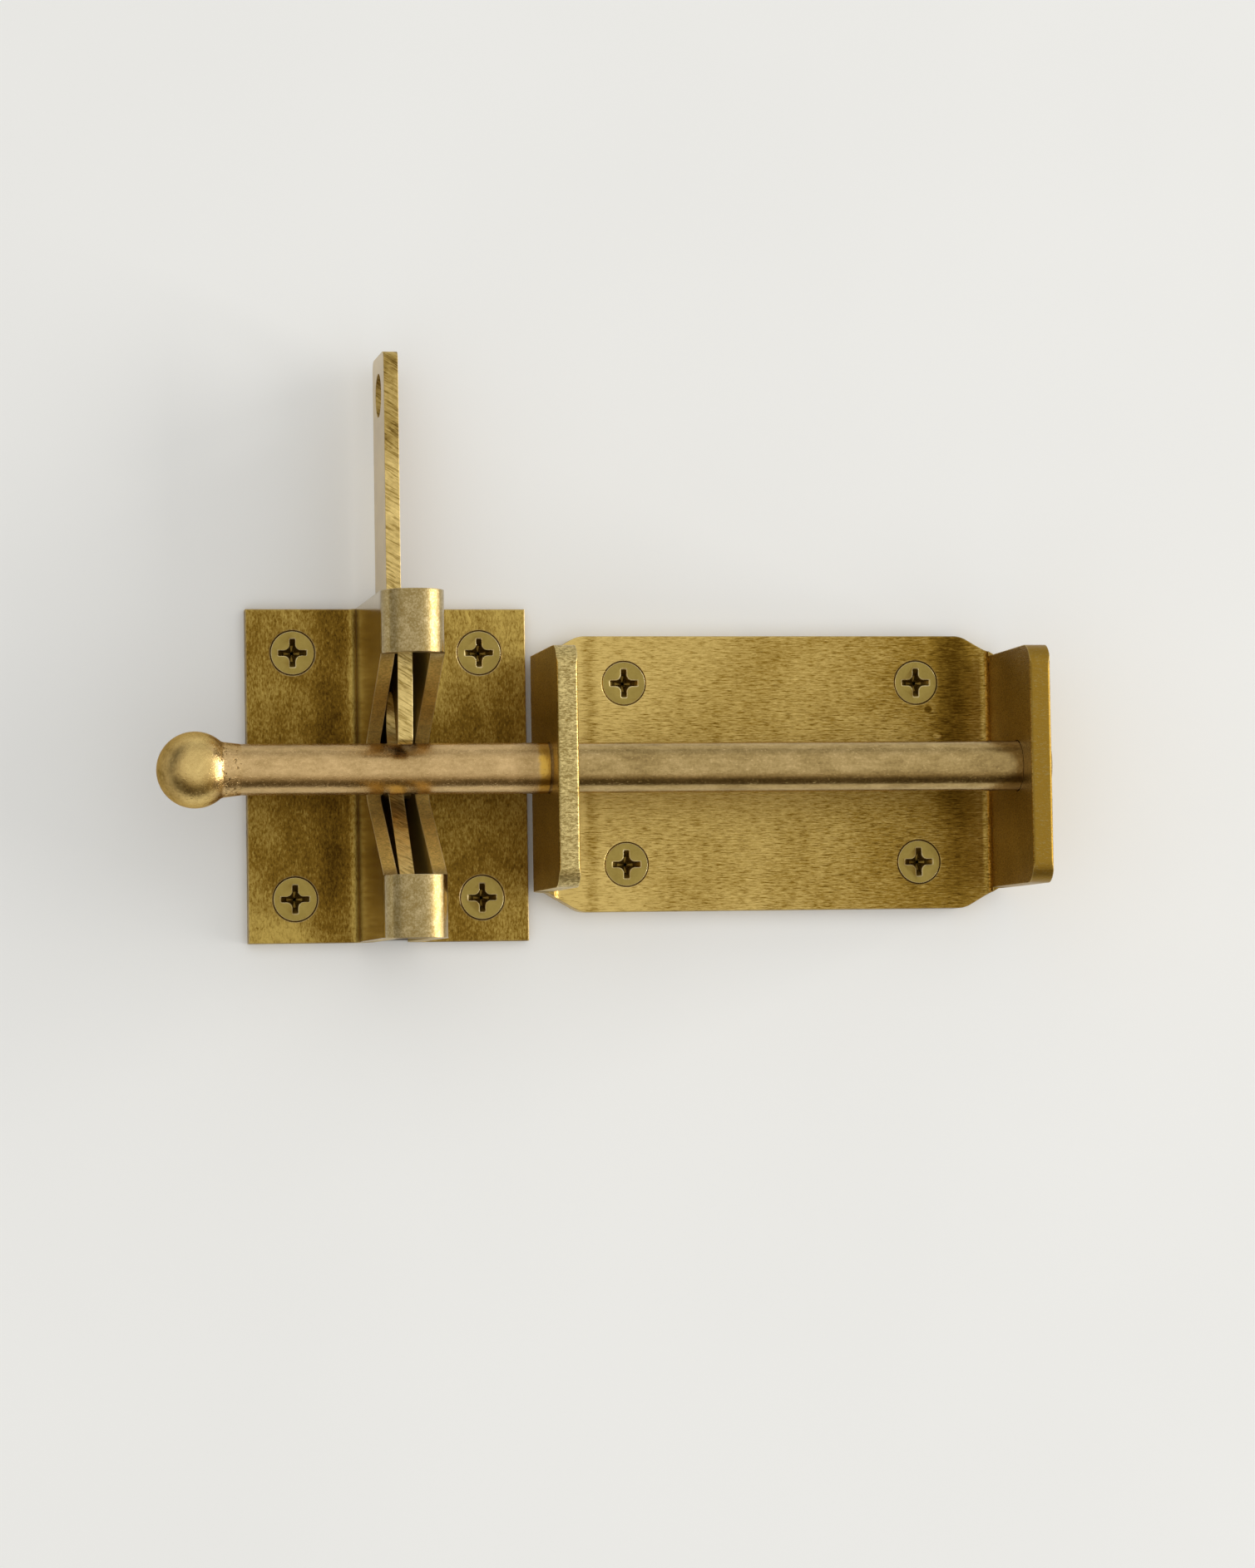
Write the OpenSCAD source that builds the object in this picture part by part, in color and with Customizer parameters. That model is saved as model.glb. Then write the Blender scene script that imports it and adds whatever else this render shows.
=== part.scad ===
// Toggle bolt latch in solid brass, in millimetres.
// X runs along the bolt, Z is up and the door stands at y = 0, so the latch reaches out towards -Y.
// The origin is on the back of the guide plate, behind the middle of the bolt.

/* [Guide plate] */
// Length over the two ears, along the bolt
guide_len = 94.2; // [80:0.1:120]
// Height of the plate between its chamfered corners
guide_high = 52.9; // [50:0.1:70]
// Height of the ears
ear_high = 45; // [36:0.1:48]
// Reach of the ears from the door
ear_reach = 35.4; // [33:0.1:42]
// Thickness of the guide plate
guide_t = 4; // [3:0.1:4.5]
// Radius inside the bends of the ears
guide_bend_r = 1.5; // [0.8:0.1:2.5]
// Radius of the ears' outer corners
ear_corner_r = 4; // [1:0.1:6]
// Radius worn on the edges along the top of the ears
ear_edge_r = 0.5; // [0.2:0.1:1.2]
// Length of the chamfers along the bolt
chamfer_len = 6.5; // [3:0.1:8]
// Distance from the ears' faces to the ends of the chamfers
chamfer_in = 2.8; // [2:0.1:5]
// Taper of the sheet from the ends of the chamfers to the ears
chamfer_step = 0.2; // [0.1:0.05:0.6]
// Radius where the chamfers start
chamfer_r = 5; // [2:0.5:8]
// Distance from the ends of the plate to its screws
guide_screw_x = 18.3; // [14:0.1:26]
// Distance from the top and bottom of the plate to its screws
guide_screw_z = 9.05; // [7:0.05:11]

/* [Bolt] */
// Diameter of the bolt
bolt_d = 9.525; // [8:0.005:10]
// Height of the bolt's axis above the door
bolt_h = 25; // [24:0.1:26]
// Diameter of the ball
ball_d = 14.2; // [13:0.1:14.6]
// Distance from the guide's ear to the middle of the ball
ball_out = 66; // [62:0.1:80]
// Radius of the fillet between the ball and the neck
neck_r = 1.5; // [0.8:0.1:3]
// Length of the neck behind the fillet
neck_len = 2.8; // [0.5:0.1:4]
// Step by which the neck flares beside the ball
neck_flare = 0.35; // [0.1:0.05:0.6]
// Diameter of the spigots at the ends of the bolt
spigot_d = 6; // [4:0.1:7]
// Length of the spigot in the ball
spigot_len = 7; // [4:0.1:9]
// Diameter of the stop washer
stop_d = 12.5; // [11.5:0.1:14]
// Thickness of the stop washer
stop_t = 1.1; // [0.8:0.1:3]

/* [Keeper plate] */
// Width of the keeper plate along the bolt
keeper_wide = 53.6; // [50:0.1:64]
// Height of the keeper plate
keeper_high = 63.5; // [60:0.1:80]
// Thickness of the keeper sheet
keeper_t = 2.6; // [2.5:0.1:3]
// Gap between the keeper plate and the guide plate
plate_gap = 0.6; // [0.4:0.1:6]
// Height of the middle of the bridges' bend above the door
bridge_h = 40; // [38:0.1:43]
// Height of each bridge up the plate
bridge_wide = 11.55; // [8:0.05:12]
// Radius where the channel's walls fold out of the plate
fold_r = 1.5; // [0.8:0.1:1.6]
// Half the angle of the notch across the walls
notch_angle = 32.88; // [31.5:0.01:34]
// Height of the notch's floor above the door
notch_floor_h = 15.5; // [14.5:0.1:16.2]
// Height of the notch's top corners above the start of the bridges' bend
notch_rise = 0.3; // [0.1:0.1:1]
// Distance from the sides of the plate to its screws
keeper_screw_x = 8.9; // [6.5:0.1:9.5]
// Distance from the top and bottom of the plate to its screws
keeper_screw_z = 8.35; // [7:0.05:12]

/* [Toggle lever] */
// Thickness of the lever
lever_t = 2.75; // [2:0.05:4]
// Distance from the pivot to the end of the arm
arm_len = 79; // [60:0.5:100]
// Width of the arm
arm_wide = 16; // [13:0.1:16.5]
// Distance between the back of the arm and the door
arm_back_h = 3.2; // [2.4:0.1:3.4]
// Radius of the corners at the end of the arm
arm_corner_r = 1.8; // [0.5:0.1:4]
// Diameter of the hole at the end of the arm
pull_d = 8.3; // [4:0.1:10]
// Distance from the end of the arm to the middle of that hole
pull_in = 7.5; // [6.5:0.1:14]
// Reach of the hook's back from the pivot
hook_reach = 34; // [33:0.1:34.2]
// Radius in the crotch between the hook and the arm
crotch_r = 4; // [1:0.5:8]
// Height of the hook's tip above the door
tip_h = 33.4; // [33.3:0.1:34.4]
// Distance of the hook's tip above the bolt's axis
tip_z = 4.1; // [3.6:0.1:5]
// Radius round the hook's tip
tip_r = 1.4; // [0.8:0.1:1.5]
// Slope of the hook's front, in degrees
hook_slope = 3.15; // [1:0.05:5]
// Angle of the prong from the door
prong_angle = 43.2; // [42.5:0.1:45]
// Height up the plate that the prong runs down to
prong_drop = 30.4; // [28:0.1:31]
// Swing of the toggle, in degrees
swing = 30; // [20:1:30]
// Swing that the slot leaves past that, in degrees
slot_spare = 1; // [0.5:0.5:2]

/* [Pivot] */
// Height of the pivot above the door
pivot_h = 8.4; // [8.3:0.1:8.8]
// Diameter of the pivot pin
pin_d = 5; // [4:0.1:5.4]
// Diameter of the pin's heads
pin_head_d = 8; // [7:0.1:8.2]
// Thickness of the pin's heads
pin_head_t = 0.8; // [0.5:0.1:2]
// Diameter of the washers beside the lever
washer_d = 9.6; // [8:0.1:11]
// Thickness of a washer
washer_t = 1.2; // [0.8:0.05:1.6]

/* [Screws] */
// Diameter of the screw heads
head_d = 8.5; // [8:0.1:9]
// Diameter of the screws' shanks
shank_d = 4.16; // [3.5:0.01:4.4]
// Mean diameter of the screws' threads
thread_d = 3.6; // [3:0.05:3.75]
// Reach of the screws into the door
screw_reach = 16; // [10:0.5:25]
// Length of the screws' points
tip_len = 4; // [2:0.5:8]
// Reach of each plain shank behind its plate
shank_past = 0.4; // [0.2:0.1:1]
// Angle of the countersinks, in degrees
sink_angle = 82; // [80:1:90]
// Height of the straight rim round each head
head_rim = 0.2; // [0.1:0.05:0.3]
// Width of the driver recess's wings
wing_wide = 1.05; // [0.8:0.05:1.4]
// Radius of the hollow corners between the wings
wing_r = 0.7; // [0.4:0.05:0.9]
// Distance across the driver recess
recess_across = 5.4; // [4:0.1:5.8]
// Depth of the driver recess
recess_deep = 1.9; // [1.2:0.1:2.2]

/* [Clearances] */
// Radial gap round the bolt in the ears
bolt_gap = 0.15; // [0.05:0.01:0.4]
// Gap between the stop washer and the ear
stop_gap = 0.1; // [0.05:0.05:1]
// Gap round the bolt in the lever's slot
slot_gap = 1.2; // [0.8:0.1:1.4]
// Gap round the ball in the lever's notch
ball_gap = 0.35; // [0.3:0.05:0.5]
// Gap each side of the lever
side_gap = 0.1; // [0.05:0.01:0.3]
// Radial gap round the pivot pin in the lever
pin_gap = 0.05; // [0.02:0.01:0.1]
// Radial gap of pieces that are fixed on a pin or a spigot
fixed_gap = 0.03; // [0.01:0.01:0.06]
// Gap between the prong and the bridge that stops it
prong_gap = 0.3; // [0.25:0.05:0.6]
// Gap round the screw heads in their countersinks
sink_gap = 0.08; // [0.05:0.01:0.15]

/* [Hidden] */
$fn = 96;
far = 200; // longer than any cut
skin = 0.02; // overlap of a cut past the face that it opens
seam = 0.001; // overlap of two cuts that meet
blend = 0.02; // step left where two curves would only touch
arc_steps = 8; // flats along a round that has no arc of its own

bolt_r = bolt_d / 2;
ball_r = ball_d / 2;
ear_x = guide_len / 2;
guide_screw_dx = guide_len - 2 * guide_screw_x;
guide_screw_dz = guide_high - 2 * guide_screw_z;
keeper_screw_dx = keeper_wide - 2 * keeper_screw_x;
keeper_screw_dz = keeper_high - 2 * keeper_screw_z;

// the lever and its washers fill the channel, with one washer on its left and two on its right
channel_wide = lever_t + 3 * washer_t + 2 * side_gap;
wall_in = channel_wide / 2;
wall_out = wall_in + keeper_t;
keeper_x = -ear_x - plate_gap - keeper_wide / 2;
lever_x = keeper_x - wall_in + washer_t + side_gap + lever_t / 2;

// the notch's sides meet the round floor on a tangent
notch_top_z = keeper_high / 2 - bridge_wide;
notch_top_h = bridge_h + notch_rise;
notch_apex_h = notch_top_h - notch_top_z / tan(notch_angle);
notch_r = (notch_floor_h - notch_apex_h) / (1 / sin(notch_angle) - 1);
notch_mid_h = notch_floor_h + notch_r;

// the toggle's notch passes the ball, and its slot only the bolt
pass_r = ball_r + ball_gap;
slot_r = bolt_r + slot_gap;
pivot_to_bolt = bolt_h - pivot_h;
slot_swing = swing + slot_spare;
eye_r = pivot_h - arm_back_h;
prong_half = pivot_to_bolt * cos(prong_angle) - pass_r - blend;

ball_x = -ear_x - ball_out;
flare_r = bolt_r + neck_flare;
neck_mid = sqrt(pow(ball_r + neck_r, 2) - pow(flare_r + neck_r, 2));
neck_x = ball_x + neck_mid + neck_len;

head_t = head_rim + (head_d - shank_d) / 2 / tan(sink_angle / 2);

// turns a profile drawn in x and height above the door into a bar along Z
module upright(high) { mirror([0, 1, 0]) linear_extrude(high, center = true) children(); }

// turns a profile drawn in z and height above the door into a plate across the bolt
module across(wide) { rotate([180, -90, 0]) linear_extrude(wide, center = true) children(); }

// turns an outline drawn in x and z into a block that stands off the door
module off_door(reach) { rotate([90, 0, 0]) linear_extrude(reach) children(); }

// a round bar along the bolt
module bar(r, x1, x2, h = 0) {
    translate([x1, -h, 0]) rotate([0, 90, 0]) cylinder(h = x2 - x1, r = r);
}

// a profile drawn in z and x, turned about the bolt's axis
module turned() { translate([0, -bolt_h, 0]) rotate([0, 90, 0]) rotate_extrude() children(); }

module rounded_box(x1, y1, x2, y2, r) {
    translate([x1, y1 + r]) square([x2 - x1, y2 - y1 - 2 * r]);
    translate([x1 + r, y1]) square([x2 - x1 - 2 * r, y2 - y1]);
    for (x = [x1 + r, x2 - r], y = [y1 + r, y2 - r]) translate([x, y]) circle(r);
}

// a quarter of a sheet's bend, with its inner radius; dx and dy point from the bend's middle to the quarter
module bend(x, y, r, t, dx, dy) {
    intersection() {
        translate([x, y]) difference() {
            circle(r + t);
            circle(r);
        }
        translate([x + min(0, dx) * (r + t), y + min(0, dy) * (r + t)]) square(r + t);
    }
}

module at_corners(x, dx, dz) {
    for (sx = [-1, 1], sz = [-1, 1]) translate([x + sx * dx / 2, 0, sz * dz / 2]) children();
}

// the hole for one screw, opening at the front of a plate of thickness t
module screw_hole(t) {
    sink_r = head_d / 2 + sink_gap;
    hole_r = shank_d / 2 + sink_gap;
    sink_t = (sink_r - hole_r) / tan(sink_angle / 2);
    rotate([-90, 0, 0]) {
        translate([0, 0, -far / 2]) cylinder(h = far, r = hole_r);
        translate([0, 0, -t + head_rim]) cylinder(h = sink_t, r1 = sink_r, r2 = hole_r);
        translate([0, 0, -far]) cylinder(h = far - t + head_rim + seam, r = sink_r);
    }
}

// the cross of the driver recess, with hollow corners between its wings
module recess_outline() {
    mid = wing_wide / 2 + wing_r;
    for (turn = [0, 90]) rotate(turn) square([recess_across, wing_wide], center = true);
    difference() {
        square(2 * mid, center = true);
        for (sx = [-1, 1], sy = [-1, 1]) translate([sx, sy] * mid) circle(wing_r - blend);
    }
}

// a flat head wood screw in a plate of thickness t
module wood_screw(t) {
    r1 = head_d / 2;
    r2 = shank_d / 2;
    r3 = thread_d / 2;
    rotate([-90, 0, 0]) difference() {
        rotate_extrude() polygon([
            [0, -t], [r1, -t], [r1, -t + head_rim], [r2, -t + head_t],
            [r2, shank_past], [r3, shank_past], [r3, screw_reach - tip_len], [0, screw_reach]
        ]);
        intersection() {
            translate([0, 0, -t - skin]) cylinder(h = recess_deep, r1 = recess_across / 2, r2 = wing_wide);
            linear_extrude(far, center = true) recess_outline();
        }
    }
}

module guide_profile() {
    mid = guide_bend_r + guide_t;
    for (s = [-1, 1]) {
        bend(s * (ear_x - mid), mid, guide_bend_r, guide_t, s, -1);
        translate([s * (ear_x - guide_t / 2), 0]) {
            translate([-guide_t / 2, mid]) square([guide_t, ear_reach - ear_edge_r - mid]);
            translate([0, ear_reach - ear_edge_r])
                square([guide_t - 2 * ear_edge_r, 2 * ear_edge_r], center = true);
            for (e = [-1, 1])
                translate([e * (guide_t / 2 - ear_edge_r), ear_reach - ear_edge_r]) circle(ear_edge_r);
        }
    }
    translate([-ear_x + mid, 0]) square([2 * (ear_x - mid), guide_t]);
}

// the sheet seen square to the door: full height between the chamfers, and the ears' height past them
module guide_outline() {
    x1 = ear_x - chamfer_in;
    z1 = ear_high / 2 + chamfer_step;
    z2 = guide_high / 2;
    turn = atan((z2 - z1) / chamfer_len);
    mid_x = x1 - chamfer_len - chamfer_r * tan(turn / 2);
    corner = [
        [ear_x + skin, ear_high / 2], [x1, z1],
        for (i = [arc_steps : -1 : 0]) let (a = turn * i / arc_steps)
            [mid_x + chamfer_r * sin(a), z2 - chamfer_r * (1 - cos(a))]
    ];
    last = len(corner) - 1;
    polygon([
        for (s = [[1, 1], [-1, 1], [-1, -1], [1, -1]])
            for (i = [0 : last]) let (p = corner[s[0] * s[1] > 0 ? i : last - i])
                [p[0] * s[0], p[1] * s[1]]
    ]);
}

module ear_outline() {
    z = ear_high / 2;
    rounded_box(-z, ear_reach / 2, z, ear_reach, ear_corner_r);
    translate([-far / 2, -skin]) square([far, guide_t + guide_bend_r + skin]);
    translate([-z, 0]) square([2 * z, ear_reach - 2 * ear_corner_r]);
}

module guide_plate() {
    color("#9a7f3c") difference() {
        intersection() {
            upright(guide_high) guide_profile();
            off_door(far) guide_outline();
            across(far) ear_outline();
        }
        bar(bolt_r + bolt_gap, -far, far, bolt_h);
        at_corners(0, guide_screw_dx, guide_screw_dz) screw_hole(guide_t);
    }
}

module keeper_profile() {
    foot = fold_r + keeper_t;
    for (s = [-1, 1]) {
        bend(s * (wall_out + fold_r), foot, fold_r, keeper_t, -s, -1);
        translate([s * (wall_in + wall_out) / 2 - keeper_t / 2, foot]) square([keeper_t, bridge_h - foot]);
        translate([s > 0 ? wall_out + fold_r : -keeper_wide / 2, 0])
            square([keeper_wide / 2 - wall_out - fold_r, keeper_t]);
        bend(0, bridge_h, wall_in, keeper_t, s, 1);
    }
}

module notch_outline() {
    side_z = notch_r * cos(notch_angle);
    side_h = notch_mid_h - notch_r * sin(notch_angle);
    translate([0, notch_mid_h]) circle(notch_r);
    polygon([
        [-side_z, side_h], [side_z, side_h],
        [notch_top_z, notch_top_h], [notch_top_z, far],
        [-notch_top_z, far], [-notch_top_z, notch_top_h]
    ]);
}

module keeper_plate() {
    color("#7d6329") difference() {
        translate([keeper_x, 0, 0]) upright(keeper_high) keeper_profile();
        translate([keeper_x, 0, 0]) across(2 * (wall_out + skin)) notch_outline();
        bar(pin_d / 2 + fixed_gap, keeper_x - 2 * wall_out, keeper_x + 2 * wall_out, pivot_h);
        at_corners(keeper_x, keeper_screw_dx, keeper_screw_dz) screw_hole(keeper_t);
    }
}

// the slot that runs round the pivot, from the bolt to where it lies when the toggle has swung
module slot_outline() {
    translate([0, pivot_h]) {
        intersection() {
            difference() {
                circle(pivot_to_bolt + slot_r);
                circle(pivot_to_bolt - slot_r);
            }
            polygon([[0, 0], [0, far], [far * sin(slot_swing), far * cos(slot_swing)]]);
        }
        rotate(-slot_swing) translate([0, pivot_to_bolt]) circle(slot_r - blend);
    }
}

module lever_outline() {
    arm_front_h = arm_back_h + arm_wide;
    top_h = bridge_h + sqrt(pow(wall_in, 2) - pow(wall_in - washer_t - side_gap, 2)) - prong_gap;
    // the crotch where the arm's front meets the round of the hook
    crotch_h = arm_front_h - pivot_h + crotch_r;
    crotch_z = sqrt(pow(hook_reach + crotch_r, 2) - pow(crotch_h, 2));
    share = (hook_reach - blend) / (hook_reach + crotch_r);
    crease_r = pass_r + prong_half / 4;
    difference() {
        union() {
            // the eye and the arm
            translate([0, pivot_h]) circle(eye_r);
            intersection() {
                rounded_box(-arm_len, arm_back_h, arm_len, arm_front_h, arm_corner_r);
                square(far);
            }
            // the hook, with its back round the pivot
            translate([0, pivot_h]) intersection() {
                circle(hook_reach);
                polygon([
                    [0, 0], [tip_z + tip_r, tip_h - tip_r - pivot_h], [tip_z + tip_r, tip_h - pivot_h],
                    [far, tip_h - pivot_h + tan(hook_slope) * (far - tip_z)], [far, 0]
                ]);
            }
            translate([tip_z + tip_r, tip_h - tip_r]) circle(tip_r);
            translate([0, pivot_h]) difference() {
                polygon([
                    [crotch_z, 0], [crotch_z, crotch_h],
                    [crotch_z * share, crotch_h * share], [crotch_z * share, 0]
                ]);
                translate([crotch_z, crotch_h] * (1 + blend / crotch_z)) circle(crotch_r);
            }
            // the prong, which leaves the notch on a tangent and is cut off under the bridge
            intersection() {
                translate([0, pivot_h]) rotate(180 - prong_angle)
                    translate([0, -prong_half]) square([far, 2 * prong_half]);
                rounded_box(-prong_drop, 0, far, top_h, arm_corner_r);
            }
            polygon([
                [pin_d / 4, bolt_h], [-crease_r * sin(prong_angle), bolt_h - crease_r * cos(prong_angle)],
                [pin_d / 4, pivot_h]
            ]);
        }
        translate([0, bolt_h]) circle(pass_r);
        slot_outline();
        translate([0, pivot_h]) circle(pin_d / 2 + pin_gap);
        translate([arm_len - pull_in, arm_back_h + arm_wide / 2]) circle(pull_d / 2);
    }
}

module toggle_lever() {
    color("#a5853f") translate([lever_x, 0, 0]) across(lever_t) lever_outline();
}

module pivot_pin() {
    color("#b39a45") translate([keeper_x, 0, 0]) {
        bar(pin_d / 2, -wall_out - skin, wall_out + skin, pivot_h);
        for (s = [0, 1]) mirror([s, 0, 0]) bar(pin_head_d / 2, wall_out, wall_out + pin_head_t, pivot_h);
    }
}

module pivot_washer(x) {
    color("#a08a44") difference() {
        bar(washer_d / 2, x, x + washer_t, pivot_h);
        bar(pin_d / 2 + fixed_gap, x - skin, x + washer_t + skin, pivot_h);
    }
}

// the bolt, with a spigot in the ball and another under the stop washer
module bolt_rod() {
    end_x = ear_x + stop_gap;
    color("#a08550") {
        bar(bolt_r, neck_x, end_x, bolt_h);
        bar(spigot_d / 2, neck_x - spigot_len, end_x + stop_t, bolt_h);
    }
}

module ball_end() {
    share = ball_r / (ball_r + neck_r);
    color("#9b7d3c") difference() {
        union() {
            translate([ball_x, -bolt_h, 0]) rotate([0, 90, 0]) sphere(ball_r);
            turned() difference() {
                polygon([
                    [0, ball_x], [(flare_r + neck_r) * share, ball_x + neck_mid * share],
                    [flare_r + neck_r, ball_x + neck_mid], [flare_r, ball_x + neck_mid],
                    [bolt_r, neck_x], [0, neck_x]
                ]);
                translate([flare_r + neck_r, ball_x + neck_mid]) circle(neck_r);
            }
        }
        bar(spigot_d / 2 + fixed_gap, neck_x - spigot_len - fixed_gap, neck_x + skin, bolt_h);
    }
}

module stop_washer() {
    x = ear_x + stop_gap;
    color("#8a7238") difference() {
        bar(stop_d / 2, x, x + stop_t, bolt_h);
        bar(spigot_d / 2 + fixed_gap, x - skin, x + stop_t + skin, bolt_h);
    }
}

module guide_screw(sx, sz) {
    color("#a8903f") translate([sx * guide_screw_dx / 2, 0, sz * guide_screw_dz / 2])
        wood_screw(guide_t);
}

module keeper_screw(sx, sz) {
    color("#a8903f") translate([keeper_x + sx * keeper_screw_dx / 2, 0, sz * keeper_screw_dz / 2])
        wood_screw(keeper_t);
}

guide_plate();
keeper_plate();
toggle_lever();
pivot_pin();
pivot_washer(keeper_x - wall_in);  // pivot_washer_1
pivot_washer(keeper_x + wall_in - 2 * washer_t);  // pivot_washer_2
pivot_washer(keeper_x + wall_in - washer_t);  // pivot_washer_3
bolt_rod();
ball_end();
stop_washer();
guide_screw(-1, 1);  // guide_screw_1
guide_screw(1, 1);  // guide_screw_2
guide_screw(-1, -1);  // guide_screw_3
guide_screw(1, -1);  // guide_screw_4
keeper_screw(-1, 1);  // keeper_screw_1
keeper_screw(1, 1);  // keeper_screw_2
keeper_screw(-1, -1);  // keeper_screw_3
keeper_screw(1, -1);  // keeper_screw_4
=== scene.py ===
"""Dresses the toggle bolt latch in aged brass, cuts its wood screws and sets it against a pale wall."""

import math

import bmesh
import bpy
from bpy.props import FloatProperty, FloatVectorProperty, PointerProperty
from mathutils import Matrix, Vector


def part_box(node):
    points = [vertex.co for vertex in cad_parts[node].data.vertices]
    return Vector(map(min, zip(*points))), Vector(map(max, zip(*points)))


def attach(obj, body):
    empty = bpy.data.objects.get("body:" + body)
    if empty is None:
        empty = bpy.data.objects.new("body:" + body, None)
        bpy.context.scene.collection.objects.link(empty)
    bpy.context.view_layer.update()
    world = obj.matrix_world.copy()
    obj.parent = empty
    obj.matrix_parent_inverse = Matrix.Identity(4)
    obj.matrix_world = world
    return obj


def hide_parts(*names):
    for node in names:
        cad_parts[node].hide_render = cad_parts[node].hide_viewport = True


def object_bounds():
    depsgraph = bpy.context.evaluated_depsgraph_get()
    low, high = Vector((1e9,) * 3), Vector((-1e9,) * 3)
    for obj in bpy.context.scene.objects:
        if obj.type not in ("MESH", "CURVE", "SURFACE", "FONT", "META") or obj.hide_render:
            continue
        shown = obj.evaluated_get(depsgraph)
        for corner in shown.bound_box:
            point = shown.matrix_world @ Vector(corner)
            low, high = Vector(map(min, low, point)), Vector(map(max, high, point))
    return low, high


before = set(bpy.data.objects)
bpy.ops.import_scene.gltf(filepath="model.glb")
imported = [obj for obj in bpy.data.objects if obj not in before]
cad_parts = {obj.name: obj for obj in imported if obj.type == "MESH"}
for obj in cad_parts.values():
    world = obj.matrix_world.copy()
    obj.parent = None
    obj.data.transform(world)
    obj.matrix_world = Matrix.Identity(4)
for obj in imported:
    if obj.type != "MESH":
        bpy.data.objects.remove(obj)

bl_info = {
    "name": "Toggle Bolt Latch",
    "version": (1, 0, 0),
    "blender": (4, 5, 0),
    "location": "View3D > Sidebar > Latch",
    "description": "Finishes a brass toggle bolt latch and sets it up for display",
    "category": "Object",
}

MM = 0.001
LOW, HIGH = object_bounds()
MIDDLE = (LOW + HIGH) / 2


# ---------------------------------------------------------------- shading

class Value:
    """A number on a node's socket, so that shading sums are written as plain sums."""

    def __init__(self, shade, socket):
        self.shade, self.socket = shade, socket

    def _math(self, operation, *others, clamp=False):
        settings = {"operation": operation, "use_clamp": clamp}
        return self.shade.node("ShaderNodeMath", settings, dict(enumerate((self, *others))))

    def __add__(self, other):
        return self._math("ADD", other)

    __radd__ = __add__

    def __mul__(self, other):
        return self._math("MULTIPLY", other)

    __rmul__ = __mul__

    def __sub__(self, other):
        return self._math("SUBTRACT", other)

    def __rsub__(self, other):
        return self.shade.node("ShaderNodeMath", {"operation": "SUBTRACT"}, {0: other, 1: self})

    def __truediv__(self, other):
        return self._math("DIVIDE", other)

    def __neg__(self):
        return self * -1.0

    def __abs__(self):
        return self._math("ABSOLUTE")

    def clamp(self):
        return self._math("ADD", 0.0, clamp=True)

    def least(self, other):
        return self._math("MINIMUM", other)

    def step(self, low, high):
        """0 below low, 1 above high and a smooth rise between them."""
        return self.shade.node(
            "ShaderNodeMapRange", {"interpolation_type": "SMOOTHSTEP"},
            {"Value": self, "From Min": low, "From Max": high, "To Min": 0.0, "To Max": 1.0}, "Result")


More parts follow.
